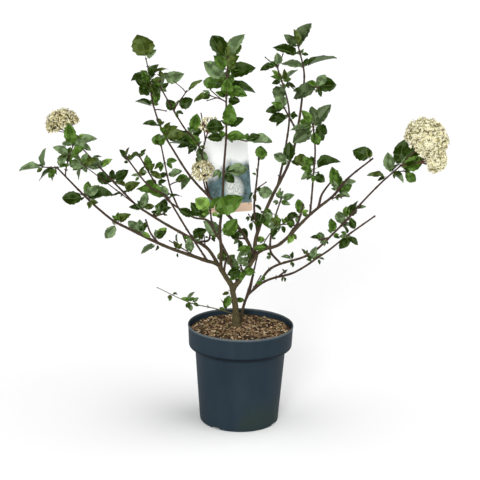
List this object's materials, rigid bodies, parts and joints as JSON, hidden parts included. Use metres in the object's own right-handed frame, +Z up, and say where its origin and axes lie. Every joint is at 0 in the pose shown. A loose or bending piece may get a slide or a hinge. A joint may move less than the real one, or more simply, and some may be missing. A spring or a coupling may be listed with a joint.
{
  "type": "potted viburnum shrub",
  "caption": "Young spring-flowering shrub with opposite leaves and cream flower heads on open spreading stems, standing in a dark plastic nursery pot with a plain plant label.",
  "frame": {"origin": "centre of the pot's flat underside", "axes": "+Z up, -Y the front of the plant, +X to the right"},
  "size_m": [0.846, 0.4597, 0.8146],
  "materials": {
    "pot": "dark slate-blue moulded plastic, satin, lightly scuffed",
    "soil": "coarse bark and coir compost",
    "bark": "grey-brown bark, reddish on young wood",
    "foliage": "dark green leaves with a soft gloss, greyer beneath",
    "blossom": "cream florets",
    "card": null,
    "tie": "pale plastic loop"
  },
  "bodies": {
    "root": {"blossom_middle": "blossom", "blossom_upper": "blossom", "bough_centre": "bark", "bough_cross": "bark", "bough_far_right": "bark", "bough_inner_left": "bark", "bough_leader": "bark", "bough_left": "bark", "bough_left_back": "bark", "bough_left_front": "bark", "bough_left_low": "bark", "bough_low_right": "bark", "bough_right": "bark", "bough_right_low": "bark", "bough_right_tall": "bark", "bough_right_top": "bark", "bough_right_up": "bark", "bough_top_inner": "bark", "bough_top_left": "bark", "foliage_centre": "foliage", "foliage_far_middle": "foliage", "foliage_far_right": "foliage", "foliage_fork_left": "foliage", "foliage_fork_right": "foliage", "foliage_hanging": "foliage", "foliage_inner_left": "foliage", "foliage_inner_tall": "foliage", "foliage_leader_low": "foliage", "foliage_left_back": "foliage", "foliage_left_front": "foliage", "foliage_left_inner": "foliage", "foliage_left_low": "foliage", "foliage_left_middle": "foliage", "foliage_left_ridge": "foliage", "foliage_left_under": "foliage", "foliage_low_right": "foliage", "foliage_low_small": "foliage", "foliage_middle": "foliage", "foliage_node": "foliage", "foliage_right_back": "foliage", "foliage_right_elbow": "foliage", "foliage_right_end": "foliage", "foliage_right_inner": "foliage", "foliage_right_mid": "foliage", "foliage_right_node": "foliage", "foliage_right_spray": "foliage", "foliage_right_top": "foliage", "foliage_right_under": "foliage", "foliage_right_up": "foliage", "foliage_thin_right": "foliage", "foliage_top_inner": "foliage", "foliage_top_left": "foliage", "label_card": "card", "label_tie": "tie", "pot": "pot", "soil": "soil", "stem_back": "bark", "trunk": "bark", "twigs_behind": "foliage", "wisp_low": "foliage"}
  },
  "joints": []
}
